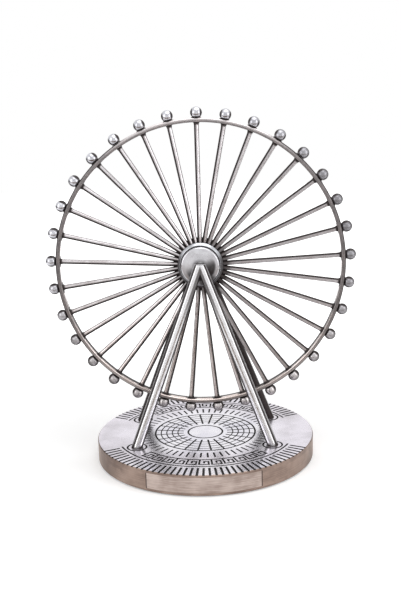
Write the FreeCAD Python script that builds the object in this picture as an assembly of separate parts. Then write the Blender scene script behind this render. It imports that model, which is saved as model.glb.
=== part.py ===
import FreeCAD, Part

import math
import os

from FreeCAD import Vector

# Table model of an observation wheel. Millimetres, +Z up, origin at the middle of the
# base's resting face. The wheel stands in the XZ plane and turns about an axle along Y.
# The front of the model, with the nameplate, faces -Y.

# --- Driving dimensions: base -------------------------------------------------
base_diameter = 80.0
base_height = 7.9               # resting face to engraved top
base_top_thickness = 2.7
base_wall_thickness = 3.6
base_edge_chamfer = 0.25
base_foot_gap = 0.3             # the casting's lower edge stands this far off the table
pad_thickness = 1.2
pad_ledge = 1.6                 # width of the ledge that the pad is glued to

# --- Driving dimensions: legs and their sockets --------------------------------
leg_foot_inset = 11.8           # base edge to the point where a leg's axis meets the top
leg_foot_angle = 30.0           # degrees from the X axis, seen from above
leg_foot_diameter = 3.85
leg_top_diameter = 3.5
leg_apex_rise = 1.9             # the axes of a pair meet this far above the wheel's centre
leg_top_rise = 1.4              # the pair is cut flat this far above the wheel's centre
leg_washer_gap = 0.15
leg_boss_wall = 1.45
leg_boss_floor = 1.6
leg_screw_diameter = 1.6
leg_screw_grip = 4.5            # length of screw inside the leg
leg_screw_head_diameter = 3.0
leg_screw_head_height = 0.8
leg_screw_slot_width = 0.4
leg_screw_slot_depth = 0.35
leg_screw_head_room = 0.2       # between the screw's head and the pad

# --- Driving dimensions: wheel -------------------------------------------------
wheel_ground_gap = 8.0          # base top to the lowest cabin
spoke_count = 33
spoke_diameter = 1.7
spoke_root_diameter = 1.42      # the spoke narrows to this at the hub
spoke_root_taper = 2.2          # length of the narrowing
spoke_root_gap = 0.045          # between neighbouring spokes at the hub
spoke_flare_step = 0.3          # the spoke's radius grows by this where it meets the rim
spoke_flare_length = 0.85
tenon_diameter = 0.8            # both ends of a spoke, and the cabin's peg
spoke_root_tenon = 1.95
peg_gap = 0.1                   # between spoke tenon and cabin peg inside the rim
rim_inner_diameter = 100.8
rim_thickness = 1.6             # radial
rim_width = 3.4                 # along the axle
rim_edge_round = 0.45
cabin_diameter = 4.1
cabin_saddle_diameter = 3.3
cabin_flat_depth = 0.4          # the ball is ground flat by this where it sits on the rim

# --- Driving dimensions: hub ----------------------------------------------------
hub_web_allowance = 0.1         # the web is wider than a spoke by this
hub_sleeve_diameter = 7.2
hub_sleeve_length = 2.2         # from the web's face
front_flange_overhang = 0.5     # radius beyond the spokes' shoulders
rear_flange_overhang = 2.12
flange_thickness = 1.25
flange_bevel = 0.75
flange_groove_width = 0.25
flange_groove_depth = 0.3
cap_step = 1.25                 # the cap's radius is smaller than the front flange's by this
cap_cover = 1.0                 # the cap's thickness over the sleeve's end
cap_edge_round = 0.7
bush_diameter = 4.0
bush_length = 2.6
axle_diameter = 2.4
axle_end_diameter = 1.6
axle_end_length = 1.75
washer_diameter = 4.0
washer_thickness = 0.6

# --- Driving dimensions: nameplate ----------------------------------------------
nameplate_half_angle = 29.8     # degrees to each side of the front
nameplate_bottom_margin = 1.3
nameplate_top_margin = 1.0
nameplate_thickness = 0.65
nameplate_inset = 0.06          # the plate's face lies this far inside the base wall

# --- Driving dimensions: engraving on the base top --------------------------------
engraving_depth = 0.32
line_width = 0.68
fine_line_width = 0.42
sector_half_angle = 66.0        # the border fans cover this much to each side of front and rear
ray_pitch = 3.2                 # degrees
ray_length = 6.0                # in from the edge
ray_width = 0.85
border_gap = 1.2                # ray ends to border line
key_gap = 1.7                   # border line to key band
key_height = 4.3
key_half_angle = 46.0
key_units = 11
tick_gap = 2.0                  # key band to tick ring
tick_length = 4.2
tick_count = 60
rose_gap = 2.0                  # tick ring to rose
rose_ray_length = 10.4
rose_rays = 24
rose_fine_rings = 4
centre_gap = 1.8                # rose rays to centre ring
collar_margin = 2.4             # plain round field beyond the leg's foot
collar_ring_inset = 0.55

# --- Clearances ------------------------------------------------------------------
running_clearance = 0.05        # radial, axle in bush
seat_clearance = 0.02           # between faces that touch
socket_clearance = 0.03         # radial, pins and legs in their sockets
free_clearance = 0.3            # radial, parts that pass without touching
washer_play = 0.08              # hub cap to washer

# --- Values that follow: base -------------------------------------------------------
base_radius = base_diameter / 2
cavity_radius = base_radius - base_wall_thickness
pad_radius = cavity_radius + pad_ledge
border_line_radius = base_radius - ray_length - border_gap
key_outer_radius = border_line_radius - key_gap
key_inner_radius = key_outer_radius - key_height
tick_outer_radius = key_inner_radius - tick_gap
tick_inner_radius = tick_outer_radius - tick_length
rose_outer_radius = tick_inner_radius - rose_gap
rose_inner_radius = rose_outer_radius - rose_ray_length
collar_radius = leg_foot_diameter / 2 + collar_margin
nameplate_top = base_height - nameplate_top_margin

# --- Values that follow: wheel ------------------------------------------------------
rim_inner_radius = rim_inner_diameter / 2
rim_outer_radius = rim_inner_radius + rim_thickness
cabin_radius = cabin_diameter / 2
cabin_circle_radius = rim_outer_radius + seat_clearance + cabin_radius - cabin_flat_depth
wheel_centre_height = base_height + wheel_ground_gap + cabin_circle_radius + cabin_radius
half_pitch = math.pi / spoke_count
roots_clear_radius = (spoke_root_diameter + spoke_root_gap) / 2 / math.tan(half_pitch)
shanks_clear_radius = (spoke_diameter + spoke_root_gap) / 2 / math.tan(half_pitch)
spoke_shoulder_radius = max(roots_clear_radius, shanks_clear_radius - spoke_root_taper)
spoke_seat_radius = rim_inner_radius - seat_clearance
peg_length = (rim_thickness + 2 * seat_clearance - peg_gap) / 2
tenon_hole_radius = tenon_diameter / 2 + seat_clearance
web_radius = spoke_shoulder_radius - seat_clearance
web_face = (spoke_diameter + hub_web_allowance) / 2
sleeve_end = web_face + hub_sleeve_length
front_flange_radius = spoke_shoulder_radius + front_flange_overhang
rear_flange_radius = spoke_shoulder_radius + rear_flange_overhang
flange_face = web_face + seat_clearance + flange_thickness
cap_radius = front_flange_radius - cap_step
cap_face = sleeve_end + cap_cover
washer_face = cap_face + washer_play + washer_thickness

# --- Values that follow: legs -------------------------------------------------------
leg_foot_x = (base_radius - leg_foot_inset) * math.cos(math.radians(leg_foot_angle))
leg_foot_y = (base_radius - leg_foot_inset) * math.sin(math.radians(leg_foot_angle))
leg_apex_y = washer_face + leg_washer_gap + leg_top_diameter / 2
LEG_FOOT = Vector(leg_foot_x, -leg_foot_y, base_height)
LEG_APEX = Vector(0, -leg_apex_y, wheel_centre_height + leg_apex_rise)
LEG_LENGTH = (LEG_APEX - LEG_FOOT).Length
LEG_UP = (LEG_APEX - LEG_FOOT).normalize()
leg_lean = math.acos(LEG_UP.z)
leg_boss_radius = leg_foot_diameter / 2 + leg_boss_wall
head_drop = leg_screw_head_height * math.cos(leg_lean) + leg_screw_head_diameter / 2 * math.sin(leg_lean)
boss_drop = leg_boss_radius * math.sin(leg_lean)
boss_end_height = pad_thickness + leg_screw_head_room + max(head_drop, boss_drop)
leg_boss_length = (base_height - boss_end_height) / math.cos(leg_lean)
leg_socket_depth = leg_boss_length - leg_boss_floor

X = Vector(1, 0, 0)
Y = Vector(0, 1, 0)
Z = Vector(0, 0, 1)
WHEEL_CENTRE = Vector(0, 0, wheel_centre_height)
FAR = 4 * (base_diameter + rim_inner_diameter)    # beyond every piece


# --- Small helpers -----------------------------------------------------------------
def turned(profile, centre=Vector(0, 0, 0), axis=Z):
    """Solid turned from a closed profile of (radius, distance along the axis) points."""
    points = [Vector(r, 0, d) for r, d in profile]
    face = Part.Face(Part.makePolygon(points + [points[0]]))
    solid = face.revolve(Vector(0, 0, 0), Z, 360)
    return placed(solid, centre, axis)


def placed(shape, centre, axis):
    """Copy of a shape whose own +Z is turned to the axis and whose origin is at centre."""
    moved = shape.copy()
    moved.Placement = FreeCAD.Placement(centre, FreeCAD.Rotation(Z, axis))
    return moved


def rod(radius, start, end):
    """Round rod between two points."""
    along = end - start
    return Part.makeCylinder(radius, along.Length, start, along)


def tube(outer_radius, inner_radius, start, end):
    """Round tube between two points."""
    along = end - start
    bore = Part.makeCylinder(inner_radius, along.Length + 2, start - along.normalize(), along)
    return rod(outer_radius, start, end).cut(bore)


def flat_edges(shape, radius, height):
    """Round edges of a turned shape that lie at one radius and one height."""
    return [edge for edge in shape.Edges
            if edge.BoundBox.ZLength < 0.001 and abs(edge.BoundBox.ZMax - height) < 0.001
            and abs(edge.BoundBox.XMax - radius) < 0.001]


def on_wheel(shape, index):
    """Copy of a shape made at the top of the wheel, turned to the spoke of that index."""
    moved = shape.copy()
    moved.rotate(WHEEL_CENTRE, Y, 360.0 * index / spoke_count)
    return moved


def mirrored(shape, normal):
    """Mirror image of a shape through the origin's plane with that normal."""
    return shape.mirror(Vector(0, 0, 0), normal)


def polar(radius, degrees):
    """Point on the base top, counted from the front (-Y) and turning towards +X."""
    angle = math.radians(degrees)
    return Vector(radius * math.sin(angle), -radius * math.cos(angle), base_height)


# --- Legs ------------------------------------------------------------------------------
def on_leg(distance):
    """Point on the front right leg's centre line, counted upwards from the base top."""
    return LEG_FOOT + LEG_UP * distance


def front_right_leg():
    """Tapered round leg, mitred on the middle plane and cut flat above the axle."""
    foot_radius = leg_foot_diameter / 2
    overrun = leg_top_diameter
    taper = (leg_top_diameter / 2 - foot_radius) / LEG_LENGTH
    end_radius = leg_top_diameter / 2 + taper * overrun
    shank = Part.makeCone(foot_radius, end_radius, LEG_LENGTH + overrun, LEG_FOOT, LEG_UP)
    leg = rod(foot_radius, on_leg(-leg_socket_depth), LEG_FOOT).fuse(shank)
    keep = Part.makeBox(FAR, FAR, wheel_centre_height + leg_top_rise, Vector(seat_clearance / 2, -FAR / 2, 0))
    leg = leg.common(keep)
    hole_end = WHEEL_CENTRE - Y * (washer_face + axle_end_length + seat_clearance)
    leg = leg.cut(rod(axle_end_diameter / 2 + socket_clearance, WHEEL_CENTRE, hole_end))
    screw_hole = rod(leg_screw_diameter / 2 + seat_clearance, on_leg(-leg_boss_length),
                     on_leg(leg_screw_grip + seat_clearance - leg_socket_depth))
    return leg.cut(screw_hole).removeSplitter()


def leg_screw():
    """Slotted screw that comes up through the boss into the front right leg."""
    seat = on_leg(-leg_boss_length - seat_clearance)
    head_end = seat - LEG_UP * leg_screw_head_height
    shank = rod(leg_screw_diameter / 2, seat, on_leg(leg_screw_grip - leg_socket_depth))
    head = rod(leg_screw_head_diameter / 2, head_end, seat)
    slot_length = 2 * leg_screw_head_diameter
    slot = Part.makeBox(slot_length, leg_screw_slot_width, leg_screw_slot_depth)
    slot.translate(Vector(-slot_length / 2, -leg_screw_slot_width / 2, 0))
    return shank.fuse(head).cut(placed(slot, head_end, LEG_UP)).removeSplitter()


def four_corners(shape):
    """A shape at the front right, and its mirror images at the other three legs."""
    left = mirrored(shape, X)
    return [shape, left, mirrored(shape, Y), mirrored(left, Y)]


# --- Engraving ---------------------------------------------------------------------------
def line_groove(start, end, width):
    """Straight groove in the base top between two points of its surface."""
    along = end - start
    length = along.Length
    box = Part.makeBox(length, width, 2 * engraving_depth)
    box.translate(Vector(0, -width / 2, -engraving_depth))
    box.Placement = FreeCAD.Placement(start, FreeCAD.Rotation(X, along)).multiply(box.Placement)
    return box


def arc_groove(radius, width, half_angle=180.0, middle=0.0):
    """Groove along an arc about the base's axis, to each side of a middle angle."""
    floor = Vector(0, 0, base_height - engraving_depth)
    sweep = 2 * half_angle
    outer = Part.makeCylinder(radius + width / 2, 2 * engraving_depth, floor, Z, sweep)
    inner = Part.makeCylinder(radius - width / 2, 4 * engraving_depth, floor - Z * engraving_depth)
    ring = outer.cut(inner)
    ring.rotate(Vector(0, 0, 0), Z, middle - 90 - half_angle)
    return ring


def border_fan(middle):
    """Rays that run out over the edge, with a curved line inside them."""
    grooves = []
    count = int(sector_half_angle // ray_pitch)
    for step in range(-count, count + 1):
        angle = middle + step * ray_pitch
        start = polar(base_radius - ray_length, angle)
        grooves.append(line_groove(start, polar(base_radius + ray_width, angle), ray_width))
    grooves.append(arc_groove(border_line_radius, line_width, sector_half_angle, middle))
    return grooves


def key_band(middle):
    """Running square key on a curved line, in front of or behind the wheel."""
    unit = 2 * key_half_angle / key_units
    path = [(0.0, 0.0), (0.0, 1.0), (0.74, 1.0), (0.74, 0.36), (0.38, 0.36), (0.38, 0.68)]
    grooves = []
    for index in range(key_units):
        start_angle = middle - key_half_angle + (index + 0.13) * unit
        points = [polar(key_inner_radius + key_height * rise, start_angle + unit * run) for run, rise in path]
        for start, end in zip(points, points[1:]):
            tail = (end - start).normalize() * (line_width / 2)
            grooves.append(line_groove(start - tail, end + tail, line_width))
    grooves.append(arc_groove(key_inner_radius, line_width, key_half_angle, middle))
    return grooves


def tick_ring():
    """Ring of short strokes between two circles."""
    grooves = []
    for index in range(tick_count):
        angle = 360.0 * (index + 0.5) / tick_count
        start = polar(tick_inner_radius, angle)
        grooves.append(line_groove(start, polar(tick_outer_radius, angle), line_width))
    return grooves


def rose():
    """Plain rose of rays about the middle, crossed by fine rings."""
    centre_ring = arc_groove(rose_inner_radius - centre_gap, line_width)
    grooves = [centre_ring, arc_groove(rose_outer_radius, line_width)]
    for index in range(rose_rays):
        angle = 360.0 * (index + 0.5) / rose_rays
        start = polar(rose_inner_radius, angle)
        grooves.append(line_groove(start, polar(rose_outer_radius, angle), line_width))
    spacing = rose_ray_length / (rose_fine_rings + 1)
    for index in range(rose_fine_rings):
        grooves.append(arc_groove(rose_inner_radius + spacing * (index + 1), fine_line_width))
    return grooves


def collar_rings():
    """Circle about each leg's foot."""
    floor = LEG_FOOT - Z * engraving_depth
    ring_radius = collar_radius - collar_ring_inset
    outer = Part.makeCylinder(ring_radius, 2 * engraving_depth, floor)
    inner = Part.makeCylinder(ring_radius - line_width, 2 * engraving_depth, floor)
    return four_corners(outer.cut(inner))


def engraving():
    """All the grooves of the base top, kept clear of the collars."""
    grooves = border_fan(0) + border_fan(180) + key_band(0) + key_band(180) + tick_ring() + rose()
    floor = LEG_FOOT - Z * 2 * engraving_depth
    fields = four_corners(Part.makeCylinder(collar_radius, 4 * engraving_depth, floor))
    network = grooves[0].multiFuse(grooves[1:])
    return [network.cut(fields)] + collar_rings()


# --- Base -----------------------------------------------------------------------------------
def nameplate_sector(inner_radius, outer_radius, bottom, top, half_angle):
    """Curved block at the front of the base wall."""
    floor = Vector(0, 0, bottom)
    height = top - bottom
    outer = Part.makeCylinder(outer_radius, height, floor, Z, 2 * half_angle)
    block = outer.cut(Part.makeCylinder(inner_radius, height, floor))
    block.rotate(Vector(0, 0, 0), Z, -90 - half_angle)
    return block


def nameplate():
    """Curved plate with plain face, glued in its recess in the wall."""
    outer = base_radius - nameplate_inset
    return nameplate_sector(outer - nameplate_thickness, outer, nameplate_bottom_margin,
                            nameplate_top, nameplate_half_angle)


def nameplate_recess():
    """The space that the plate sits in."""
    inner = base_radius - nameplate_inset - nameplate_thickness - seat_clearance
    edge = math.degrees(socket_clearance / base_radius)
    return nameplate_sector(inner, base_diameter, nameplate_bottom_margin - socket_clearance,
                            nameplate_top + socket_clearance, nameplate_half_angle + edge)


def base_casting():
    """Hollow round casting: engraved top, leg sockets with bosses, recess for the plate."""
    c = base_edge_chamfer
    ledge_radius = pad_radius + socket_clearance
    ledge_height = pad_thickness + seat_clearance
    ceiling = base_height - base_top_thickness
    casting = turned([
        (0, ceiling), (cavity_radius, ceiling), (cavity_radius, ledge_height),
        (ledge_radius, ledge_height), (ledge_radius, base_foot_gap),
        (base_radius - c, base_foot_gap), (base_radius, base_foot_gap + c),
        (base_radius, base_height - c), (base_radius - c, base_height), (0, base_height)])
    boss = rod(leg_boss_radius, on_leg(-leg_boss_length), LEG_FOOT)
    below = Part.makeBox(FAR, FAR, ceiling + base_top_thickness / 3, Vector(-FAR / 2, -FAR / 2, 0))
    casting = casting.fuse(four_corners(boss.common(below)))
    socket = rod(leg_foot_diameter / 2 + socket_clearance, on_leg(-leg_socket_depth - seat_clearance),
                 on_leg(leg_foot_diameter))
    screw_way = rod(leg_screw_diameter / 2 + socket_clearance, on_leg(-2 * leg_boss_length), LEG_FOOT)
    cuts = four_corners(socket.fuse(screw_way)) + [nameplate_recess()] + engraving()
    return casting.cut(cuts)


def base_pad():
    """Round soft pad glued to the ledge inside the base wall."""
    return Part.makeCylinder(pad_radius, pad_thickness)


# --- Wheel ------------------------------------------------------------------------------------
def hub_barrel():
    """Core of the hub: a web with the spoke sockets on a sleeve for the two bushes."""
    sleeve = hub_sleeve_diameter / 2
    bore = bush_diameter / 2 + seat_clearance
    waist = axle_diameter / 2 + free_clearance
    stop = sleeve_end - bush_length - seat_clearance
    core = turned([
        (waist, stop), (bore, stop), (bore, sleeve_end), (sleeve, sleeve_end),
        (sleeve, web_face), (web_radius, web_face), (web_radius, -web_face), (sleeve, -web_face),
        (sleeve, -sleeve_end), (bore, -sleeve_end), (bore, -stop), (waist, -stop)], WHEEL_CENTRE, Y)
    depth = spoke_shoulder_radius - spoke_root_tenon - seat_clearance
    socket = rod(tenon_hole_radius, WHEEL_CENTRE + Z * depth, WHEEL_CENTRE + Z * rim_inner_radius)
    return core.cut([on_wheel(socket, index) for index in range(spoke_count)])


def flange(radius, side):
    """Bevelled disc beside the spoke ends, with a narrow groove where the cap stands."""
    inner = web_face + seat_clearance
    edge = flange_face - flange_bevel
    groove = cap_radius + flange_groove_width
    bore = hub_sleeve_diameter / 2 + seat_clearance
    profile = [
        (bore, inner), (radius, inner), (radius, edge), (radius - flange_bevel, flange_face),
        (groove, flange_face), (groove, flange_face - flange_groove_depth),
        (bore, flange_face - flange_groove_depth)]
    return turned(profile, WHEEL_CENTRE, Y * side)


def cap(side):
    """Round cover of the hub, with a rounded edge and a recess for the sleeve."""
    seat = flange_face - flange_groove_depth + seat_clearance
    recess = hub_sleeve_diameter / 2 + seat_clearance
    recess_end = sleeve_end + seat_clearance
    bore = axle_diameter / 2 + free_clearance
    cover = turned([(bore, recess_end), (recess, recess_end), (recess, seat), (cap_radius, seat),
                    (cap_radius, cap_face), (bore, cap_face)])
    outer_edges = flat_edges(cover, cap_radius, cap_face)
    return placed(cover.makeFillet(cap_edge_round, outer_edges), WHEEL_CENTRE, Y * side)


def bush(side):
    """Plain bearing bush, pressed into one end of the sleeve."""
    return tube(bush_diameter / 2, axle_diameter / 2 + running_clearance,
                WHEEL_CENTRE + Y * side * (sleeve_end - bush_length), WHEEL_CENTRE + Y * side * sleeve_end)


def axle():
    """Stepped pin: the middle carries the bushes, the thin ends sit in the legs."""
    thin = axle_end_diameter / 2
    thick = axle_diameter / 2
    end = washer_face + axle_end_length
    return turned([
        (0, -end), (thin, -end), (thin, -washer_face), (thick, -washer_face),
        (thick, washer_face), (thin, washer_face), (thin, end), (0, end)], WHEEL_CENTRE, Y)


def washer(side):
    """Thrust washer on the axle, between the hub cap and the legs."""
    return tube(washer_diameter / 2, axle_diameter / 2 + socket_clearance,
                WHEEL_CENTRE + Y * side * (cap_face + washer_play), WHEEL_CENTRE + Y * side * washer_face)


def rim():
    """Ring of rounded rectangular section with one radial hole at each spoke."""
    half = rim_width / 2
    ring = turned([(rim_inner_radius, -half), (rim_outer_radius, -half),
                   (rim_outer_radius, half), (rim_inner_radius, half)])
    edges = [edge for radius in (rim_inner_radius, rim_outer_radius) for height in (-half, half)
             for edge in flat_edges(ring, radius, height)]
    ring = placed(ring.makeFillet(rim_edge_round, edges), WHEEL_CENTRE, Y)
    hole = rod(tenon_hole_radius, WHEEL_CENTRE + Z * spoke_shoulder_radius, WHEEL_CENTRE + Z * FAR)
    return ring.cut([on_wheel(hole, index) for index in range(spoke_count)])


def spoke():
    """Round spoke at the top of the wheel, narrower at the hub, with a thin tenon at each end."""
    tenon = tenon_diameter / 2
    shank = spoke_diameter / 2
    narrow = spoke_root_diameter / 2
    root = spoke_shoulder_radius - spoke_root_tenon
    tip = spoke_seat_radius + peg_length
    return turned([
        (0, root), (tenon, root), (tenon, spoke_shoulder_radius), (narrow, spoke_shoulder_radius),
        (shank, spoke_shoulder_radius + spoke_root_taper), (shank, spoke_seat_radius - spoke_flare_length),
        (shank + spoke_flare_step, spoke_seat_radius),
        (tenon, spoke_seat_radius), (tenon, tip), (0, tip)], WHEEL_CENTRE, Z)


def cabin():
    """Ball cabin at the top of the wheel: ball, short saddle and peg in one piece."""
    foot = rim_outer_radius + seat_clearance
    middle = WHEEL_CENTRE + Z * cabin_circle_radius
    peg = rod(tenon_diameter / 2, WHEEL_CENTRE + Z * (foot - peg_length), middle)
    saddle = rod(cabin_saddle_diameter / 2, WHEEL_CENTRE + Z * foot, middle)
    above_rim = rod(cabin_diameter, WHEEL_CENTRE + Z * foot, WHEEL_CENTRE + Z * (foot + 2 * cabin_diameter))
    ball = Part.makeSphere(cabin_radius, middle).common(above_rim)
    return ball.fuse([peg, saddle]).removeSplitter()


# --- Assembly ------------------------------------------------------------------------------------
def pieces():
    """All the pieces, by name."""
    legs = four_corners(front_right_leg())
    named = {
        "base_casting": base_casting(),
        "nameplate": nameplate(),
        "base_pad": base_pad(),
        "leg_screws": Part.makeCompound(four_corners(leg_screw())),
        "front_right_leg": legs[0],
        "front_left_leg": legs[1],
        "rear_right_leg": legs[2],
        "rear_left_leg": legs[3],
        "axle": axle(),
        "front_washer": washer(-1),
        "rear_washer": washer(1),
        "hub_barrel": hub_barrel(),
        "front_flange": flange(front_flange_radius, -1),
        "rear_flange": flange(rear_flange_radius, 1),
        "front_cap": cap(-1),
        "rear_cap": cap(1),
        "front_bush": bush(-1),
        "rear_bush": bush(1),
        "rim": rim(),
        "spokes": Part.makeCompound([on_wheel(spoke(), index) for index in range(spoke_count)]),
    }
    for index in range(spoke_count):
        named["cabin_%02d" % (index + 1)] = on_wheel(cabin(), index)
    return named


def main():
    os.makedirs("parts", exist_ok=True)
    for name, shape in pieces().items():
        solids = shape.Solids
        print("%-16s %2d solid(s), valid %s, %9.2f mm3" % (name, len(solids), shape.isValid(), shape.Volume))
        shape.exportStep("parts/%s.step" % name)


main()
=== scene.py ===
import math

import bpy
import numpy as np
from mathutils import Matrix, Vector

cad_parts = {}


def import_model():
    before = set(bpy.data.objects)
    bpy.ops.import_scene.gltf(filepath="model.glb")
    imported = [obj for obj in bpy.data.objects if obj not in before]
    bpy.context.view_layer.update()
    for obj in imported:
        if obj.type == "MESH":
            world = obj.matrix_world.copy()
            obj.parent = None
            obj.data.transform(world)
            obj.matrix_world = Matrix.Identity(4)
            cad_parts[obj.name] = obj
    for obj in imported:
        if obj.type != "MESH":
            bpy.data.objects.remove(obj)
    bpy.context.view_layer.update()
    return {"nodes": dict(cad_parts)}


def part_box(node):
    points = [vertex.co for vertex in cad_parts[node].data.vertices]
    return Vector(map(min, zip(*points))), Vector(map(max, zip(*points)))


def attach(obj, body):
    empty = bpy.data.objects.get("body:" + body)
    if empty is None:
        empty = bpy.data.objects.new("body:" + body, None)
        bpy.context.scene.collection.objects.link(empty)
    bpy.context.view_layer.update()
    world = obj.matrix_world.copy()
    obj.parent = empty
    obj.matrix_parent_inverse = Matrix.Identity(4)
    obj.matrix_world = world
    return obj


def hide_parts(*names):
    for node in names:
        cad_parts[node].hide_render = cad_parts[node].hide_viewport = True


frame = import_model()

# Looks of the table model of an observation wheel. Lengths are millimetres, and they become
# metres where a mesh, a lamp or a coordinate of a shader is made. The wheel stands in the XZ
# plane, its axle lies along Y, and the front with the nameplate faces -Y.
MM = 0.001

# --- Sizes read from the frame --------------------------------------------------------------------
RIM_LOW, RIM_HIGH = (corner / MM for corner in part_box("rim"))
BALL_LOW, BALL_HIGH = (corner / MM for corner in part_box("cabin_01"))
CAP_LOW, CAP_HIGH = (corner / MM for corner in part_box("front_cap"))
DISC_LOW, DISC_HIGH = (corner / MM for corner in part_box("front_flange"))
BASE_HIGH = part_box("base_casting")[1] / MM

wheel_height = (RIM_LOW.z + RIM_HIGH.z) / 2
rim_radius = (RIM_HIGH.z - RIM_LOW.z) / 2
rim_half_width = (RIM_HIGH.y - RIM_LOW.y) / 2
base_radius = BASE_HIGH.x
base_top = BASE_HIGH.z
ball_radius = (BALL_HIGH.x - BALL_LOW.x) / 2
ball_circle = BALL_HIGH.z - ball_radius - wheel_height
cap_radius = CAP_HIGH.x
cap_face = -CAP_LOW.y
cap_seat = -CAP_HIGH.y
disc_face = -DISC_LOW.y
disc_back = -DISC_HIGH.y
front_disc_radius = DISC_HIGH.x
rear_disc_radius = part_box("rear_flange")[1].x / MM
plate_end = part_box("nameplate")[1].x / MM       # half of the nameplate's chord

# --- Sizes that the frame's boxes don't give ------------------------------------------------------
seat_gap = 0.02                 # between the rim and the spokes and balls that meet it
spoke_count = 33
spoke_pitch = 2 * math.pi / spoke_count
spoke_radius = 0.85
spoke_root_radius = 0.71
spoke_root = 7.67               # distance from the wheel's centre to a spoke's shoulder
spoke_root_taper = 2.2
flare_step = 0.3                # the spoke is wider by this, in radius, at the rim
flare_length = 1.3
flare_power = 2.2               # the flare opens slowly, then fast
rim_thickness = 1.6
rim_edge_round = 0.6
neck_radius = 1.65
neck_round = 0.16
neck_spread = ((0.2, 0.0), (0.03, 0.07), (-0.08, 0.16))    # radius over the neck's, height over the rim
disc_bevel = 0.75
disc_bevel_rounds = (0.25, 0.18)                           # of the bevel's back and front edge
disc_bore = 3.62
groove_width = 0.25
groove_depth = 0.3
cap_edge_round = 0.7
cap_flat_step = 0.3             # from the rounded edge to the first ring of the domed face
cap_bore = 1.5
cap_recess = 3.62
cap_recess_depth = 1.0          # from the cap's face
cap_crown = 0.45                # the face falls by this from its middle to its edge
soft_edge = 0.08                # rounding of a turned edge
leg_foot_circle = 28.2
leg_foot_angle = 30.0           # degrees from the X axis
leg_foot_radius = 1.925
leg_top_radius = 1.75
leg_apex_y = 6.68
leg_apex_rise = 1.9             # over the wheel's centre
leg_cut_rise = 1.4
leg_depth = 3.0                 # of the leg below the base top
mitre_gap = 0.01

rim_inner = rim_radius - rim_thickness
spoke_seat = rim_inner - seat_gap
ball_foot = rim_radius + seat_gap

# --- Points along and around the pieces -----------------------------------------------------------
rim_steps_per_spoke = 16
spoke_segments = 24
ball_segments = 36
leg_segments = 48
leg_rows = 60
sharp_angle = 38                # degrees, past which an edge is shaded sharp
spoke_grain_step = (11.0, 7.0, 31.0)    # from one spoke's stretch of the grain to the next one's
ball_grain_step = (5.0, 3.0, 2.0)
leg_grain_radius = 1.5

# --- Camera, seen as a view into a frame of 401 x 601 pixels --------------------------------------
frame_width = 401
frame_height = 601
focal_pixels = 950.3            # focal length
camera_yaw = 0.0278
camera_pitch = 0.2315
camera_roll = -0.0296
camera_distance = 344.4
camera_target = Vector((-0.36, 0.0, 58.38))
sensor = 36.0                   # width of the camera's film

# --- Studio ---------------------------------------------------------------------------------------
# Name, place, width, height and power in watts of each lamp.
LAMPS = (
    ("left_box", (-290, -190, 150), 150, 290, 0.28),
    ("right_box", (300, -170, 150), 180, 290, 0.36),
    ("top_box", (60, -40, 430), 380, 320, 0.75))
lamp_target = Vector((0, 0, 60))
soft_light = 0.5                # of the surroundings, where they aren't seen directly
floor_radius = 900.0
floor_segments = 96
floor_glow = 0.32               # near the model
floor_fade = (60.0, 200.0)      # the glow grows to 1 between these distances from the axis
card_foot = 1.0                 # the cards clear the floor by this
standing_card_height = 115.0


# --- Meshes ---------------------------------------------------------------------------------------
def grid_faces(rows, columns, wrap_rows=False):
    """Quads of a grid of points whose last column joins its first. With wrap_rows the rows join too."""
    row = np.arange(rows if wrap_rows else rows - 1)[:, None]
    column = np.arange(columns)[None, :]
    next_row = (row + 1) % rows
    next_column = (column + 1) % columns
    quads = [row * columns + column, row * columns + next_column,
             next_row * columns + next_column, next_row * columns + column]
    return np.stack(quads, axis=-1).reshape(-1, 4)


def fan_faces(ring, pole, reverse):
    """Triangles from a ring of point numbers to one pole."""
    following = np.roll(ring, -1)
    ends = (following, ring) if reverse else (ring, following)
    return np.stack([ends[0], ends[1], np.full_like(ring, pole)], axis=-1)


def piece(name, points, faces, body, slot, replaced, patina_and_shade, grain=None):
    """Object with a mesh of points in millimetres and a list of face arrays. Patina_and_shade is a
    number from 0 to 1 at each point, which holds patina together with painted shade, and grain is each
    point's place in the frame that the finish was brushed in."""
    mesh = bpy.data.meshes.new(name)
    mesh.from_pydata(points * MM, [], [face for block in faces for face in block.tolist()])
    mesh.polygons.foreach_set("use_smooth", np.ones(len(mesh.polygons), bool))
    mesh.set_sharp_from_angle(angle=math.radians(sharp_angle))
    layer = mesh.attributes.new("patina_and_shade", "FLOAT", "POINT")
    layer.data.foreach_set("value", np.asarray(patina_and_shade, np.float32).ravel())
    if grain is not None:
        layer = mesh.attributes.new("grain", "FLOAT_VECTOR", "POINT")
        layer.data.foreach_set("vector", np.asarray(grain, np.float32).ravel())
    mesh.materials.append(MATERIALS[slot])
    mesh.validate()
    mesh.update()
    made = bpy.data.objects.new(name, mesh)
    bpy.context.scene.collection.objects.link(made)
    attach(made, body)
    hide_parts(*replaced)


def rounded(corners, steps=6):
    """Closed outline of (x, y, radius) corners. Each corner with a radius becomes an arc tangent to its
    two sides, which starts at the radius over the tangent of half the corner's angle."""
    outline = []
    count = len(corners)
    for index, (x, y, radius) in enumerate(corners):
        corner = np.array((x, y))
        if radius == 0:
            outline.append(corner)
            continue
        before = np.array(corners[index - 1][:2]) - corner
        after = np.array(corners[(index + 1) % count][:2]) - corner
        before = before / np.linalg.norm(before)
        after = after / np.linalg.norm(after)
        half = math.acos(np.clip(before @ after, -1, 1)) / 2
        middle = (before + after) / np.linalg.norm(before + after)
        centre = corner + middle * radius / math.sin(half)
        first = corner + before * radius / math.tan(half) - centre
        last = corner + after * radius / math.tan(half) - centre
        for share in np.linspace(0, 1, steps):
            arm = first * (1 - share) + last * share
            outline.append(centre + arm / np.linalg.norm(arm) * radius)
    return np.array(outline)


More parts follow.
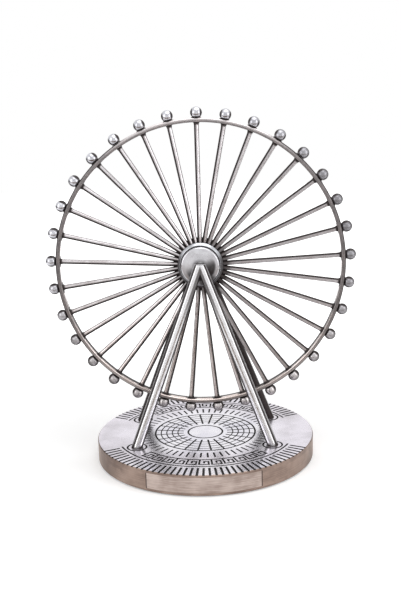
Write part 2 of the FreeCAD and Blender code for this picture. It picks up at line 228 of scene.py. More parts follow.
def smooth_step(value, low, high):
    """0 below low, 1 above high, and a smooth cubic between them."""
    share = np.clip((value - low) / (high - low), 0, 1)
    return share * share * (3 - 2 * share)


def toward_top(around, low, high):
    """Smooth step of the height on the wheel, which is 1 at its top, 0 at its axle and -1 at its
    bottom: the cosine of the angle from the top."""
    return smooth_step(np.cos(around), low, high)


def toward_bottom(around, low, high):
    """The same step, of the height measured downwards."""
    return smooth_step(-np.cos(around), low, high)


# --- Shader helpers -------------------------------------------------------------------------------
class Wire:
    """A shader socket that carries a number. Sums, products and powers of wires add Math nodes."""

    def __init__(self, graph, socket):
        self.graph = graph
        self.socket = socket

    def __add__(self, other):
        return self.graph.maths("ADD", self, other)

    def __sub__(self, other):
        return self.graph.maths("SUBTRACT", self, other)

    def __rsub__(self, other):
        return self.graph.maths("SUBTRACT", other, self)

    def __mul__(self, other):
        return self.graph.maths("MULTIPLY", self, other)

    def __pow__(self, other):
        return self.graph.maths("POWER", self, other)

    __radd__ = __add__
    __rmul__ = __mul__


class Graph:
    """The nodes of one material or of the world."""

    def __init__(self, owner):
        owner.use_nodes = True
        self.tree = owner.node_tree
        self.tree.nodes.clear()

    def node(self, kind, settings=None, values=None):
        """New node. Its settings are set first, then its sockets get a value or a link."""
        made = self.tree.nodes.new(kind)
        for name, value in (settings or {}).items():
            setattr(made, name, value)
        for name, value in (values or {}).items():
            socket = made.inputs[name]
            if isinstance(value, Wire):
                value = value.socket
            if isinstance(value, bpy.types.NodeSocket):
                self.tree.links.new(value, socket)
            else:
                socket.default_value = value
        return made

    def maths(self, operation, first, second=0.0):
        """Wire with the result of a Math node."""
        made = self.node("ShaderNodeMath", {"operation": operation}, {0: first, 1: second})
        return Wire(self, made.outputs[0])

    def largest(self, first, second):
        """The larger of two numbers."""
        return self.maths("MAXIMUM", first, second)

    def step(self, value, low, high):
        """Smooth step of a wire from 0 at low to 1 at high."""
        made = self.node("ShaderNodeMapRange", {"interpolation_type": "SMOOTHSTEP"},
                         {"Value": value, "From Min": low, "From Max": high})
        return Wire(self, made.outputs["Result"])

    def blend(self, share, first, second):
        """Colour between two colours."""
        made = self.node("ShaderNodeMix", {"data_type": "RGBA"}, {"Factor": share, 6: first, 7: second})
        return made.outputs[2]

    def vector(self, operation, first, second):
        """Vector with the result of a Vector Math node."""
        made = self.node("ShaderNodeVectorMath", {"operation": operation}, {0: first, 1: second})
        return made.outputs[0]

    def place(self):
        """Place on the object, in millimetres."""
        coordinates = self.node("ShaderNodeTexCoord")
        return self.vector("MULTIPLY", coordinates.outputs["Object"], (1 / MM,) * 3)

    def parts(self, vector):
        """The three numbers of a vector, as wires."""
        made = self.node("ShaderNodeSeparateXYZ", {}, {0: vector})
        return [Wire(self, output) for output in made.outputs]

    def joined(self, x, y, z):
        """Vector of three numbers."""
        return self.node("ShaderNodeCombineXYZ", {}, {0: x, 1: y, 2: z}).outputs[0]

    def attribute(self, name):
        """The piece's own attribute node."""
        return self.node("ShaderNodeAttribute", {"attribute_name": name})

    def noise(self, vector, scale, detail, roughness=0.5):
        """Cloudy noise, from 0 to 1 about a mean of 0.5."""
        made = self.node("ShaderNodeTexNoise", {},
                         {"Vector": vector, "Scale": scale, "Detail": detail, "Roughness": roughness})
        return Wire(self, made.outputs["Fac"])

    def bump(self, height, strength, depth):
        """Normal of a surface raised by height times depth, in millimetres."""
        made = self.node("ShaderNodeBump", {},
                         {"Height": height, "Strength": strength, "Distance": depth * MM})
        return made.outputs[0]

    def surface(self, values):
        """Ends the graph with a Principled surface of these values."""
        shader = self.node("ShaderNodeBsdfPrincipled", {}, values)
        self.node("ShaderNodeOutputMaterial", {}, {"Surface": shader.outputs[0]})


def linear(red, green, blue):
    """Colour for a shader from the 0 to 255 values that a screen shows."""
    shares = np.array((red, green, blue)) / 255
    straight = np.where(shares <= 0.04045, shares / 12.92, ((shares + 0.055) / 1.055) ** 2.4)
    return (*map(float, straight), 1.0)


WHITE = (1.0, 1.0, 1.0, 1.0)
# Dark colour of patina in hollows, also used as painted shade where a piece's number of patina and
# painted shade is high.
PATINA_SHADE_COLOUR = linear(40, 31, 30)
# Painted warm reflection: a tint that multiplies a warm plating low on the wheel, standing in for warm
# surroundings reflected there.
PAINTED_WARM_REFLECTION = linear(250, 243, 236)    # multiplies a warm plating low on the wheel
BLACK_FILL = linear(24, 20, 20)


# --- Plating of the wheel and the legs ------------------------------------------------------------
def plated(name, colour, dark_colour, roughness, grain_of, grain_depth, warm):
    """Antique plating: bright metal with brushed grain, under a dark colour where the piece's own number
    of patina and painted shade is high. A warm plating has a painted warm reflection lower down."""
    material = bpy.data.materials.new(name)
    graph = Graph(material)
    place = graph.place()
    grain = grain_of(graph, place)
    cloud = graph.noise(place, scale=0.35, detail=3.0, roughness=0.6)
    fine = graph.noise(place, scale=2.2, detail=2.0, roughness=0.5)
    patina_and_shade = uneven_patina_and_shade(graph, cloud, fine)
    bright = graph.blend(graph.step(cloud * 0.6 + grain * 0.4, 0.3, 0.7), dark_colour, colour)
    # Painted warm reflection, stronger lower down on the wheel.
    if warm:
        height = graph.parts(place)[2]
        warmth = graph.blend(graph.step(height, 10.0, 85.0), PAINTED_WARM_REFLECTION, WHITE)
        bright = graph.vector("MULTIPLY", bright, warmth)
    gloss = roughness + (grain - 0.5) * 0.22 + (cloud - 0.5) * 0.12 + patina_and_shade * 0.25
    graph.surface({
        "Base Color": graph.blend(patina_and_shade, bright, PATINA_SHADE_COLOUR),
        "Metallic": 1 - patina_and_shade * 0.55,
        "Roughness": gloss,
        "Normal": graph.bump(grain * 0.7 + fine * 0.12, strength=0.35, depth=grain_depth)})
    return material


def uneven_patina_and_shade(graph, cloud, fine):
    """The piece's own number of patina and painted shade, with an uneven edge."""
    mask = Wire(graph, graph.attribute("patina_and_shade").outputs["Fac"])
    return graph.step(mask + (fine - 0.5) * 0.12 + (cloud - 0.5) * 0.25, 0.1, 0.9)


def lengthwise_grain(graph, place):
    """Streaks along the third axis of the piece's grain."""
    vector = graph.vector("MULTIPLY", graph.attribute("grain").outputs["Vector"], (2.6, 2.6, 0.12))
    return graph.noise(vector, scale=1.0, detail=3.0, roughness=0.6)


def turned_grain(graph, place):
    """Fine circles about the wheel's axle, as a lathe or a buffing wheel leaves them."""
    x, y, z = graph.parts(place)
    up = z - wheel_height
    radius = (x * x + up * up) ** 0.5
    drift = graph.noise(place, scale=0.15, detail=1.0) * 0.8
    across = graph.joined(radius * 3.2 + drift, y * 3.2, 0.0)
    return graph.noise(across, scale=1.0, detail=3.0, roughness=0.6)


# Name, bright and dark colour, roughness, grain, the grain's depth, and whether it gets the painted warm
# reflection lower down.
PLATINGS = (
    ("leg_plating", linear(238, 238, 241), linear(211, 209, 210), 0.22, lengthwise_grain, 0.05, False),
    ("spoke_plating", linear(230, 227, 230), linear(184, 177, 178), 0.28, lengthwise_grain, 0.05, True),
    ("rim_plating", linear(253, 249, 251), linear(225, 214, 213), 0.22, turned_grain, 0.05, True),
    ("cabin_plating", linear(220, 221, 227), linear(174, 173, 179), 0.27, lengthwise_grain, 0.05, True),
    ("hub_plating", linear(210, 212, 217), linear(174, 176, 181), 0.27, turned_grain, 0.04, False),
    ("cap_plating", linear(216, 216, 220), linear(183, 181, 185), 0.3, turned_grain, 0.04, False))
MATERIALS = {finish[0]: plated(*finish) for finish in PLATINGS}


# --- Finishes of the other pieces -----------------------------------------------------------------
def base_plating():
    """Polished top with black lines and a painted highlight over its middle and front, and a brushed
    wall whose tan colour is a painted warm reflection.
    """
    material = bpy.data.materials.new("base_plating.looks")
    graph = Graph(material)
    place = graph.place()
    x, y, z = graph.parts(place)
    radius = (x * x + y * y) ** 0.5
    cloud = graph.noise(place, scale=0.09, detail=3.0, roughness=0.55)
    fine = graph.noise(place, scale=1.6, detail=4.0, roughness=0.65)
    drift = graph.noise(place, scale=0.06, detail=1.0) * 6.0
    wall_place = graph.joined(radius * 0.5, drift, z * 4.0)
    wall_grain = graph.noise(wall_place, scale=1.0, detail=3.0, roughness=0.6)
    on_wall = graph.step(radius, base_radius - 0.32, base_radius - 0.12)
    groove = (1 - graph.step(z, base_top - 0.06, base_top - 0.015)) * (1 - on_wall)
    cloudy = graph.step(cloud, 0.3, 0.7)
    field = graph.blend(cloudy, linear(208, 203, 210), linear(234, 229, 238))
    # Painted highlight: the top is brighter over its middle and along its front.
    painted_highlight = graph.blend(cloudy, linear(228, 226, 236), linear(250, 248, 253))
    near_front = graph.step(-1.0 * y, 22.0, 34.0)       # millimetres in front of the axis
    painted_dim = graph.step(radius, 16.0, 32.0) * (1 - near_front * 0.9)
    top = graph.blend(painted_dim, painted_highlight, field)
    # Painted warm reflection: the wall's tan colours stand in for warm surroundings reflected in it.
    wall = graph.blend(graph.step(cloud * 0.6 + wall_grain * 0.4, 0.35, 0.68),
                       linear(118, 100, 91), linear(172, 151, 139))
    bright = graph.blend(on_wall, top, wall)
    wall_rough = on_wall * (0.2 + (wall_grain - 0.5) * 0.3)
    graph.surface({
        "Base Color": graph.blend(groove, bright, BLACK_FILL),
        "Metallic": 0.84 - groove * 0.64,
        "Roughness": 0.25 + (fine - 0.5) * 0.14 + wall_rough + groove * 0.35,
        "Normal": graph.bump(fine * 0.4 + wall_grain * on_wall, strength=0.25, depth=0.05)})
    return material


def plate_plating():
    """Nameplate: brushed along the wall, a little brighter than it, with a dark seam at both ends."""
    material = bpy.data.materials.new("plate_plating.looks")
    graph = Graph(material)
    place = graph.place()
    x, _, z = graph.parts(place)
    cloud = graph.noise(place, scale=0.12, detail=3.0, roughness=0.55)
    grain = graph.noise(graph.joined(x * 0.12, 0.0, z * 4.0), scale=1.0, detail=3.0, roughness=0.6)
    bright = graph.blend(graph.step(cloud * 0.5 + grain * 0.5, 0.35, 0.65),
                         linear(150, 133, 125), linear(200, 184, 176))
    seam = graph.step(graph.maths("ABSOLUTE", x), plate_end - 0.45, plate_end - 0.1)
    graph.surface({
        "Base Color": graph.blend(seam * 0.85, bright, PATINA_SHADE_COLOUR),
        "Metallic": 1.0,
        "Roughness": 0.32 + (grain - 0.5) * 0.25,
        "Normal": graph.bump(grain, strength=0.3, depth=0.04)})
    return material


def plain_metal(name, colour, dark_colour, roughness):
    """Bright turned metal of a small part, with faint tarnish."""
    material = bpy.data.materials.new(name + ".looks")
    graph = Graph(material)
    place = graph.place()
    cloud = graph.noise(place, scale=0.8, detail=3.0, roughness=0.6)
    fine = graph.noise(place, scale=5.0, detail=3.0, roughness=0.6)
    graph.surface({
        "Base Color": graph.blend(graph.step(cloud, 0.3, 0.7), dark_colour, colour),
        "Metallic": 1.0,
        "Roughness": roughness + (fine - 0.5) * 0.2,
        "Normal": graph.bump(fine, strength=0.2, depth=0.02)})
    return material


def felt():
    """Dense felt of the pad under the base."""
    material = bpy.data.materials.new("felt.looks")
    graph = Graph(material)
    fibre = graph.noise(graph.place(), scale=6.0, detail=5.0, roughness=0.7)
    graph.surface({
        "Base Color": graph.blend(fibre, linear(22, 22, 24), linear(52, 52, 56)),
        "Roughness": 0.95,
        "Sheen Weight": 0.3,
        "Normal": graph.bump(fibre, strength=0.8, depth=0.2)})
    return material


# --- Turned pieces of the wheel -------------------------------------------------------------------
def turned_piece(name, outline, side, slot, replaced, patina_and_shade_of, segments=144):
    """Ring-shaped piece: an outline of (radius, distance from the wheel's plane) turned about the axle,
    so x = r sin a and z = r cos a. Side is -1 at the front and 1 at the rear. The outline runs round
    anticlockwise, seen with the radius to the right and the distance up. Patina_of gives the patina
    and painted shade from the outline and the angle."""
    angle = np.linspace(0, 2 * math.pi, segments, endpoint=False)
    radius, distance = outline.T[:, :, None]
    along = distance * np.ones_like(angle)
    points = np.stack([radius * np.sin(angle), side * along,
                       wheel_height + radius * np.cos(angle)], axis=-1)
    faces = grid_faces(len(outline), segments, wrap_rows=True)
    if side < 0:
        faces = faces[:, ::-1]
    patina_and_shade = patina_and_shade_of(outline, angle[None, :])
    piece(name, points.reshape(-1, 3), [faces], "wheel", slot, [replaced], patina_and_shade)


def disc_outline(radius):
    """Bevelled disc with a narrow groove beside the cap."""
    groove = cap_radius + groove_width
    floor_of_groove = disc_face - groove_depth
    back_round, front_round = disc_bevel_rounds
    return rounded([
        (disc_bore, disc_back, 0), (radius, disc_back, soft_edge),
        (radius, disc_face - disc_bevel, back_round), (radius - disc_bevel, disc_face, front_round),
        (groove, disc_face, soft_edge), (groove, floor_of_groove, 0), (disc_bore, floor_of_groove, 0)])


def disc_patina_and_shade(outline, around):
    """Black patina in the groove, and black on the back beside the spokes, which is patina together with
    painted shade between the spokes. The bevel has painted light and shade: brightest at the top and
    darkest at the bottom."""
    radius, along = outline.T[:, :, None]
    in_groove = (1 - smooth_step(along, disc_face - 0.2, disc_face - 0.03)) * (radius < cap_radius + 0.4)
    # Patina and painted shade on the back, between the spokes.
    near_spokes = 1 - smooth_step(along, disc_back + 0.05, disc_back + 0.4)
    on_bevel = smooth_step(radius, cap_radius + 0.3, cap_radius + 0.5)
    # Painted light and shade on the bevel: lit at the top, shaded at the bottom.
    bevel = on_bevel * (0.72 - 0.67 * toward_top(around, 0.2, 0.9))
    bevel = bevel + toward_bottom(around, 0.6, 0.95) * 0.12
    return np.maximum.reduce([in_groove + 0 * around, near_spokes + 0 * around, bevel])


def cap_outline():
    """Round cover with a domed face, which falls with the square of the radius, a rounded edge, and a
    recess behind for the hub's sleeve."""
    recess_end = cap_face - cap_recess_depth
    across = np.linspace(cap_radius - cap_edge_round - cap_flat_step, cap_bore, 12)
    face = [(radius, cap_face - cap_crown * (radius / cap_radius) ** 2, 0) for radius in across]
    return rounded([
        (cap_bore, recess_end, 0), (cap_recess, recess_end, 0), (cap_recess, cap_seat, 0),
        (cap_radius, cap_seat, 0), (cap_radius, cap_face - cap_crown, cap_edge_round)] + face, steps=9)


def cap_patina_and_shade(outline, around):
    """Black patina low on the cap's side and round its bore. Painted shade darkens the middle of its
    face and, as seen from the front, the lower right of its face."""
    radius, along = outline.T[:, :, None]
    side = 1 - smooth_step(along, disc_face - 0.1, disc_face + 0.5)
    bore = (1 - smooth_step(radius, cap_bore + 0.05, cap_bore + 0.5)) * 0.6
    # Painted shade: the middle of the face, under the top of the legs, is darker.
    middle = (1 - smooth_step(radius, cap_bore, cap_bore + 3.0)) * 0.5
    # Painted shadow of the legs and painted reflection of dark surroundings, towards the lower right of
    # the face.
    lower_right = np.cos(around - math.radians(155))
    on_edge = smooth_step(radius, cap_radius - 2.0, cap_radius - 0.7)
    shade = smooth_step(lower_right * radius, -3.4, 2.4) * (1 - on_edge)
    edge_shade = smooth_step(lower_right, 0.72, 0.95) * 0.85
    face = np.maximum(shade, edge_shade) * 0.8
    return np.maximum.reduce([side + 0 * around, bore + 0 * around, middle + 0 * around, face])


def rim_outline():
    """Rounded rectangle of the ring's section. The points on its inner face carry the patina's steps."""
    corners = [(rim_inner, -rim_half_width), (rim_radius, -rim_half_width),
               (rim_radius, rim_half_width), (rim_inner, rim_half_width)]
    shares = (0.5, 0.25, 0.0, -0.1, -0.2, -0.3, -0.5)
    inner_face = [(rim_inner, share * rim_half_width, 0) for share in shares]
    return rounded([(*corner, rim_edge_round) for corner in corners] + inner_face)


def rim_patina_and_shade(outline, around):
    """Both faces of the ring are darker with painted shade, lighter at the top as painted light, and its
    corners are dark with painted shade, apart from the outer ones at the top and the inner ones at the
    bottom, where they are left bright as painted light. The rear of the inner face has painted shade low
    on the wheel, and a black ring of the neck's size, patina with painted shade in the joint, surrounds
    each spoke and ball."""
    radius = outline[:, :1]
    across = np.abs(outline[:, 1:])
    toward_rear = -outline[:, 1:] / rim_half_width
    low = toward_bottom(around, 0.3, 0.8)
    bottom = toward_bottom(around, 0.85, 0.97)

    corner_start = rim_half_width - rim_edge_round
    on_corner = smooth_step(across, corner_start, corner_start + 0.15)
    # Painted shade on the outer corners, left off at the top, where the light falls.
    outer_corners = smooth_step(radius, rim_radius - 0.6, rim_radius - 0.3) * on_corner
    outer_corners = outer_corners * (1 - toward_top(around, 0.8, 0.95)) * 0.85
    # Painted shade on the inner corners, left off low on the wheel, where the light falls.
    inner_corners = (1 - smooth_step(radius, rim_inner + 0.05, rim_inner + 0.4)) * on_corner
    inner_corners = inner_corners * (1 - toward_bottom(around, 0.2, 0.7)) * 0.75

    # Painted light: the outer part of both faces is lighter at the top; the rest of the faces carries
    # painted shade.
    painted_top_light = smooth_step(radius, rim_inner + 0.5, rim_radius - 0.4) * toward_top(around, 0.7, 0.9)
    tarnish_and_shade = 0.64 - 0.03 * np.cos(2 * around) - 0.22 * painted_top_light - 0.1 * low * (1 - bottom)
    faces = smooth_step(across, rim_half_width - 0.35 + 0.24 * low, rim_half_width - 0.04) * tarnish_and_shade

    # Painted shade on the rear of the inner face, low on the wheel.
    strip_start = -0.1 - 0.65 * (1 - bottom)
    rear_strip = smooth_step(toward_rear - strip_start, 0.0, 0.2)
    rear_strip = rear_strip * (1 - smooth_step(radius, rim_inner + 0.1, rim_inner + 0.3))
    rear_strip = rear_strip * toward_bottom(around, 0.0, 0.5) * 0.9

    # Black patina in the joint round each spoke and ball, together with painted shade there.
    turns = around / spoke_pitch
    from_spoke = np.abs(turns - np.round(turns)) * spoke_pitch * rim_radius
    near_neck = 1 - smooth_step(np.hypot(from_spoke, across), neck_radius, neck_radius + 0.9)
    outside = smooth_step(radius, rim_radius - 0.25, rim_radius - 0.02)
    inside = 1 - smooth_step(radius, rim_inner + 0.02, rim_inner + 0.25)
    crevices = np.maximum(outside, inside) * near_neck * 0.85
    return np.maximum.reduce([faces, outer_corners, inner_corners, rear_strip, crevices])


# --- Spokes and balls -----------------------------------------------------------------------------
def round_bars(outline, segments, matrices):
    """Turned bars: an outline of (radius, distance) turned about its own Z, then copied by each matrix
    (copies, 3, 4). The outline's first and last point lie on the axis and become poles. Gives one bar's
    own points, the points of all the bars, and their faces."""
    angle = np.linspace(0, 2 * math.pi, segments, endpoint=False)
    radius, distance = outline[1:-1].T[:, :, None]
    ring = np.stack([radius * np.cos(angle), radius * np.sin(angle),
                     distance * np.ones_like(angle)], axis=-1)
    poles = np.array([(0.0, 0.0, outline[0, 1]), (0.0, 0.0, outline[-1, 1])])
    own = np.concatenate([ring.reshape(-1, 3), poles])
    points = np.einsum("cij,pj->cpi", matrices[:, :, :3], own) + matrices[:, None, :, 3]
    rings = len(outline) - 2
    first_pole = rings * segments
    quads = grid_faces(rings, segments)
    first_ring = np.arange(segments)
    last_ring = first_ring + first_pole - segments
    fans = np.concatenate([fan_faces(first_ring, first_pole, True),
                           fan_faces(last_ring, first_pole + 1, False)])
    offsets = (np.arange(len(matrices)) * len(own))[:, None, None]
    return own, points, [(quads + offsets).reshape(-1, 4), (fans + offsets).reshape(-1, 3)]


def wheel_matrices(indices):
    """For each index, the turn about the axle that brings the top of the wheel to that spoke."""
    angle = spoke_pitch * np.asarray(indices)
    zero = np.zeros_like(angle)
    one = np.ones_like(angle)
    rows = [
        [np.cos(angle), zero, np.sin(angle), zero],
        [zero, one, zero, zero],
        [-np.sin(angle), zero, np.cos(angle), one * wheel_height]]
    return np.moveaxis(np.array(rows), 2, 0)


def spoke_outline():
    """A cone from the root to the full radius, a straight shank, and a flare whose extra radius is the
    flare's step times a power of the way along it."""
    shank = np.linspace(spoke_root + spoke_root_taper, spoke_seat - flare_length, 24)
    share = np.linspace(0, 1, 9)[1:]
    flare = np.stack([spoke_radius + flare_step * share ** flare_power,
                      spoke_seat - flare_length + flare_length * share], axis=-1)
    return np.concatenate([
        [(0, spoke_root), (spoke_root_radius, spoke_root)],
        np.stack([np.full_like(shank, spoke_radius), shank], axis=-1),
        flare,
        [(0, spoke_seat)]])


def spoke_patina_and_shade(own):
    """Patina and painted shade of each spoke (rows) at each of its points (columns). One side is dark
    with painted shade, a little wider on the spokes at the left of the wheel, and the other is half as
    dark.
    The spokes at the right are darker with painted shade, and all are darker near the hub, more so low
    on the wheel, with patina and painted shade between the spokes, and black at the rim, with patina
    and painted shade in the joint."""
    around = spoke_pitch * np.arange(spoke_count)[:, None]
    across = own[:, 0] / np.maximum(np.hypot(own[:, 0], own[:, 1]), 1e-6)
    # Painted shade on the flanks of each spoke.
    dark_side = (1 - smooth_step(across + 0.12 * np.sin(around), -0.5, 0.1)) * 0.93
    other_side = smooth_step(across, 0.45, 0.75) * 0.45
    # Painted shade: the spokes at the right of the wheel are darker.
    painted_dim = smooth_step(np.sin(around), 0.0, 0.6) * 0.38
    sides = np.maximum(np.maximum(dark_side, other_side), painted_dim)     # a row for each spoke
    # Patina and painted shade near the hub, stronger low on the wheel, and in the joint at the rim.
    near_hub = 1 - smooth_step(own[:, 2], spoke_root + 1.5, spoke_root + 4.5)
    near_rim = smooth_step(own[:, 2], spoke_seat - flare_length * 1.1, spoke_seat - 0.1)
    return np.maximum(sides + near_hub * (0.36 - 0.2 * np.cos(around)), near_rim)


def spokes():
    """All the spokes, as one piece. Each has its own stretch of the grain."""
    indices = np.arange(spoke_count)
    own, points, faces = round_bars(spoke_outline(), spoke_segments, wheel_matrices(indices))
    grain = own + indices[:, None, None] * spoke_grain_step
    piece("spoke_set", points.reshape(-1, 3), faces, "wheel", "spoke_plating", ["spokes"],
          spoke_patina_and_shade(own), grain)


def ball_outline():
    """Ball on a short neck that spreads onto the rim: r = R sin t and d = C + R cos t, with the ball's
    radius R, the distance C of its centre, and t from the neck round to the outer pole."""
    neck_angle = math.asin((neck_radius - neck_round) / ball_radius)
    turn = np.linspace(math.pi - neck_angle, 0, 26)
    ball = np.stack([ball_radius * np.sin(turn), ball_circle + ball_radius * np.cos(turn)], axis=-1)
    spread = np.array(neck_spread) + (neck_radius, ball_foot)
    return np.concatenate([[(0, ball_foot)], spread, ball[:-1], [(0, ball[-1, 1])]])


def ball_patina_and_shade(own, around):
    """Black at the foot, with patina and painted shade in the joint, and dark with painted shade on the
    two sides that face the next balls. The rest has painted shade that changes round the wheel, weaker
    under a painted highlight on the front and rear, and stronger on the outer half of the balls low on
    the wheel."""
    # Patina and painted shade in the joint at the foot.
    foot = (1 - smooth_step(own[:, 2], ball_foot + 0.2, ball_foot + 0.75)) * 0.85
    # Painted shade on the sides of each ball.
    sides = smooth_step(np.abs(own[:, 0]), ball_radius * 0.45, ball_radius * 0.8) * 0.85
    # Painted highlight on the front and rear of each ball.
    painted_highlight = smooth_step(np.abs(own[:, 1]), ball_radius * 0.3, ball_radius * 0.9)
    # Painted shade that changes round the wheel, and on the outer half of the lower balls.
    tarnish_and_shade = 0.32 - 0.14 * math.cos(around + 1.2) - 0.2 * math.cos(2 * around + 0.81)
    outer_half = smooth_step(own[:, 2] - ball_circle, -0.1 * ball_radius, 0.6 * ball_radius)
    tarnish_and_shade = tarnish_and_shade * (1.3 - 0.42 * painted_highlight) + outer_half * toward_bottom(around, 0.1, 0.7) * 0.3
    return np.maximum.reduce([foot, sides, tarnish_and_shade])


def cabin(index):
    """One ball of the rim, with its own stretch of the grain."""
    name = "cabin_%02d" % (index + 1)
    own, points, faces = round_bars(ball_outline(), ball_segments, wheel_matrices([index]))
    grain = own + np.array(ball_grain_step) * index
    piece(name + "_ball", points.reshape(-1, 3), faces, "wheel", "cabin_plating", [name],
          ball_patina_and_shade(own, spoke_pitch * index), grain)


# --- Legs -----------------------------------------------------------------------------------------
def leg_patina_and_shade(turn, rise):
    """Patina and painted shade of a leg, from each fibre's angle and each point's height over the base
    top:
    painted shade on both flanks and on the side towards the wheel, with a faint painted stripe of shade
    on the outer side, black at the foot with patina and painted shade in the joint, and painted shade on
    the lower half near the top."""
    across = np.cos(turn)
    # Painted shade on the flanks, the stripe and the side towards the wheel.
    lower_flank = smooth_step(across, 0.62, 0.78) * 0.9
    upper_flank = smooth_step(-across, 0.42, 0.6) * 0.85 - smooth_step(-across, 0.8, 0.9) * 0.35
    stripe = smooth_step(across, -0.05, 0.1) * (1 - smooth_step(across, 0.22, 0.38)) * 0.25
    toward_wheel = smooth_step(np.sin(turn), 0.0, 0.5)
    sides = np.maximum.reduce([lower_flank, upper_flank, stripe, toward_wheel])
    # Patina and painted shade at the foot; painted shade on the lower half near the top.
    near_base = 1 - smooth_step(rise, 0.15, 1.2)
    near_top = smooth_step(rise, 36.0, 56.0) * smooth_step(across, 0.0, 0.25) * 0.66
    return np.maximum(np.maximum(sides, near_base), near_top)


def leg(name, x_side, y_side):
    """Tapered round leg. The fibre at angle t starts at the foot plus R (flank cos t + inward sin t),
    where the flank is the lower one and inward is towards the wheel. It runs along the axis less the
    taper, from below the base top up to the mitre on the middle plane or to the flat cut over the
    axle, whichever comes first. Both ends are fans."""
    angle = math.radians(leg_foot_angle)
    foot = np.array((leg_foot_circle * math.cos(angle), -leg_foot_circle * math.sin(angle), base_top))
    apex = np.array((0.0, -leg_apex_y, wheel_height + leg_apex_rise))
    length = np.linalg.norm(apex - foot)
    up = (apex - foot) / length
    flank = np.cross(up, (0.0, 1.0, 0.0))
    flank = flank / np.linalg.norm(flank)
    inward = np.cross(flank, up)

    turn = np.linspace(0, 2 * math.pi, leg_segments, endpoint=False)
    arm = np.outer(np.cos(turn), flank) + np.outer(np.sin(turn), inward)
    start = foot + arm * leg_foot_radius
    slope = up + arm * (leg_top_radius - leg_foot_radius) / length
    cut_height = wheel_height + leg_cut_rise
    to_mitre = (mitre_gap / 2 - start[:, 0]) / slope[:, 0]
    to_cut = (cut_height - start[:, 2]) / slope[:, 2]
    reach = np.minimum(to_mitre, to_cut)
    distance = -leg_depth + (reach + leg_depth) * np.linspace(0, 1, leg_rows)[:, None]
    tube = start + slope * distance[..., None]
    poles = [foot - up * leg_depth, (mitre_gap / 2, -leg_apex_y, cut_height)]
    points = np.concatenate([tube.reshape(-1, 3), poles]) * (x_side, -y_side, 1)

    first_pole = leg_rows * leg_segments
    first_ring = np.arange(leg_segments)
    last_ring = first_ring + first_pole - leg_segments
    quads = grid_faces(leg_rows, leg_segments)
    fans = np.concatenate([fan_faces(first_ring, first_pole, True),
                           fan_faces(last_ring, first_pole + 1, False)])
    if x_side * y_side < 0:
        quads = quads[:, ::-1]
        fans = fans[:, ::-1]

    own = np.stack(np.broadcast_arrays(leg_grain_radius * np.cos(turn),
                                       leg_grain_radius * np.sin(turn), distance), axis=-1)
    grain = np.concatenate([own.reshape(-1, 3), ((0, 0, 0), (0, 0, length))])
    patina_and_shade = np.concatenate([leg_patina_and_shade(turn, tube[..., 2] - base_top).ravel(), (0.0, 0.0)])
    piece(name + "_tube", points, [quads, fans], "stand", "leg_plating", [name], patina_and_shade, grain)


# --- Surroundings, lamps and cards ----------------------------------------------------------------
def seen_directly(graph):
    """1 for rays of the camera, of reflections and of clear materials."""
    path = graph.node("ShaderNodeLightPath")
    camera_ray = Wire(graph, path.outputs["Is Camera Ray"])
    glossy = Wire(graph, path.outputs["Is Glossy Ray"])
    through = Wire(graph, path.outputs["Is Transmission Ray"])
    return graph.largest(camera_ray, graph.largest(glossy, through))


def world():
    """White surroundings as seen, and soft light from them."""
    made = bpy.data.worlds.new("studio")
    bpy.context.scene.world = made
    graph = Graph(made)
    shown = seen_directly(graph)
    strength = shown + (1 - shown) * soft_light
    light = graph.node("ShaderNodeBackground", {}, {"Color": WHITE, "Strength": strength})
    graph.node("ShaderNodeOutputWorld", {}, {"Surface": light.outputs[0]})


def floor():
    """Pale round floor that keeps the model's shadow and fades to the white surroundings."""
    mesh = bpy.data.meshes.new("floor")
    turn = np.linspace(0, 2 * math.pi, floor_segments, endpoint=False)
    ring = np.stack([np.cos(turn), np.sin(turn), np.zeros_like(turn)], axis=-1) * floor_radius
    points = np.concatenate([ring, [(0.0, 0.0, 0.0)]])
    faces = fan_faces(np.arange(floor_segments), floor_segments, False)
    mesh.from_pydata(points * MM, [], faces.tolist())
    material = bpy.data.materials.new("floor_white")
    graph = Graph(material)
    x, y, _ = graph.parts(graph.place())
    distance = (x * x + y * y) ** 0.5
    far = graph.step(distance, *floor_fade)
    graph.surface({
        "Base Color": (0.82, 0.82, 0.82, 1.0),
        "Roughness": 0.8,
        "Specular IOR Level": 0.2,
        "Emission Color": WHITE,
        "Emission Strength": seen_directly(graph) * (floor_glow + far * (1 - floor_glow))})
    mesh.materials.append(material)
    made = bpy.data.objects.new("floor", mesh)
    bpy.context.scene.collection.objects.link(made)


def softbox(name, place, width, height, power):
    """Rectangular lamp that faces the middle of the wheel."""
    lamp = bpy.data.lights.new(name, "AREA")
    lamp.shape = "RECTANGLE"
    lamp.size = width * MM
    lamp.size_y = height * MM
    lamp.energy = power
    made = bpy.data.objects.new(name, lamp)
    made.location = Vector(place) * MM
    made.rotation_euler = (made.location - lamp_target * MM).to_track_quat("Z", "Y").to_euler()
    made.visible_camera = False
    bpy.context.scene.collection.objects.link(made)


def flag(name, corners, material):
    """Card that shows only in the reflections of the model, so that round bright metal gets dark
    edges and a dark band, as beside a product in a studio."""
    mesh = bpy.data.meshes.new(name)
    mesh.from_pydata([Vector(corner) * MM for corner in corners], [], [(0, 1, 2, 3)])
    mesh.materials.append(material)
    made = bpy.data.objects.new(name, mesh)
    made.visible_camera = False
    made.visible_diffuse = False
    made.visible_shadow = False
    bpy.context.scene.collection.objects.link(made)


def standing_flag(name, place, width, material):
    """Upright card that faces the model."""
    across = Vector((-place[1], place[0], 0)).normalized() * width / 2
    foot = Vector((*place, card_foot))
    up = Vector((0, 0, standing_card_height))
    flag(name, [foot - across, foot + across, foot + across + up, foot - across + up], material)


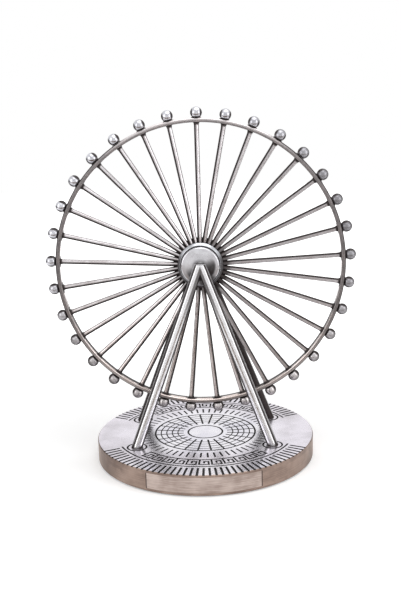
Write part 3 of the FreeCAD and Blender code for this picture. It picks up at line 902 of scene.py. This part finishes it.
def side_flag(name, x, front, back, height, material):
    """Upright card to one side of the model."""
    flag(name, [(x, front, card_foot), (x, back, card_foot),
                (x, back, height), (x, front, height)], material)


def lying_flag(name, half, near, far, material):
    """Card that lies on the floor in front of the model."""
    flag(name, [(-half, -near, card_foot), (half, -near, card_foot),
                (half, -far, card_foot), (-half, -far, card_foot)], material)


def card(name, colour):
    """Matt finish of a card."""
    material = bpy.data.materials.new(name)
    graph = Graph(material)
    shader = graph.node("ShaderNodeBsdfDiffuse", {}, {"Color": colour})
    graph.node("ShaderNodeOutputMaterial", {}, {"Surface": shader.outputs[0]})
    return material


def cards():
    """Black cards behind the model, brown ones beside it and a tan one in front of it."""
    black = card("card_black", linear(25, 25, 25))
    standing_flag("left_flag", (-250, 190), 420, black)
    standing_flag("right_flag", (220, 300), 200, black)
    brown = card("card_brown", linear(92, 78, 72))
    side_flag("left_side_flag", -340, -260, 160, 60, brown)
    side_flag("right_side_flag", 340, -260, 160, 60, brown)
    lying_flag("front_flag", 400, 85, 320, card("card_tan", linear(140, 124, 112)))


def camera():
    """Camera from its yaw, pitch and roll about the target."""
    forward = Vector((-math.sin(camera_yaw) * math.cos(camera_pitch),
                      math.cos(camera_yaw) * math.cos(camera_pitch), -math.sin(camera_pitch)))
    right = Vector((math.cos(camera_yaw), math.sin(camera_yaw), 0))
    up = right.cross(forward)
    turned_right = right * math.cos(camera_roll) + up * math.sin(camera_roll)
    turned_up = up * math.cos(camera_roll) - right * math.sin(camera_roll)
    axes = Matrix((turned_right, turned_up, -forward)).transposed()
    place = (camera_target - forward * camera_distance) * MM
    lens = bpy.data.cameras.new("camera")
    lens.sensor_width = sensor
    lens.lens = focal_pixels * sensor / max(frame_width, frame_height)
    lens.clip_start = 0.01
    lens.clip_end = 20.0
    made = bpy.data.objects.new("camera", lens)
    made.matrix_world = Matrix.Translation(place) @ axes.to_4x4()
    bpy.context.scene.collection.objects.link(made)
    bpy.context.scene.camera = made


# --- Assembly -------------------------------------------------------------------------------------
def finish_nodes():
    """Gives each CAD node that stays its finish."""
    finishes = {
        "base_plating": base_plating(),
        "plate_plating": plate_plating(),
        "bright_steel": plain_metal("bright_steel", linear(206, 206, 208), linear(170, 168, 168), 0.25),
        "bush_brass": plain_metal("bush_brass", linear(214, 178, 108), linear(170, 132, 74), 0.3),
        "felt": felt(),
        # the hub's core, dark between its discs: patina in the recess together with painted shade there
        "hub_plating": plain_metal("hub_plating", linear(60, 54, 52), linear(30, 27, 27), 0.5),
    }
    for node in frame["nodes"].values():
        for place in node.material_slots:
            name = place.material.name.split(".")[0]
            if name in finishes:
                place.material = finishes[name]


def wheel():
    """Ring, spokes, balls, and a disc and a cover on both sides of the hub."""
    turned_piece("rim_ring", rim_outline(), -1, "rim_plating", "rim", rim_patina_and_shade,
                 segments=spoke_count * rim_steps_per_spoke)
    spokes()
    for index in range(spoke_count):
        cabin(index)
    for side, where, radius in ((-1, "front", front_disc_radius), (1, "rear", rear_disc_radius)):
        turned_piece(where + "_disc", disc_outline(radius), side, "hub_plating", where + "_flange",
                     disc_patina_and_shade)
        turned_piece(where + "_cover", cap_outline(), side, "cap_plating", where + "_cap", cap_patina_and_shade)


def legs():
    """The four legs, which are mirror images of each other."""
    for x_side, left_right in ((-1, "left"), (1, "right")):
        for y_side, front_rear in ((-1, "front"), (1, "rear")):
            leg("%s_%s_leg" % (front_rear, left_right), x_side, y_side)


def main():
    finish_nodes()
    wheel()
    legs()
    world()
    floor()
    for lamp in LAMPS:
        softbox(*lamp)
    cards()
    camera()
    bpy.context.scene.view_settings.view_transform = "Standard"


main()
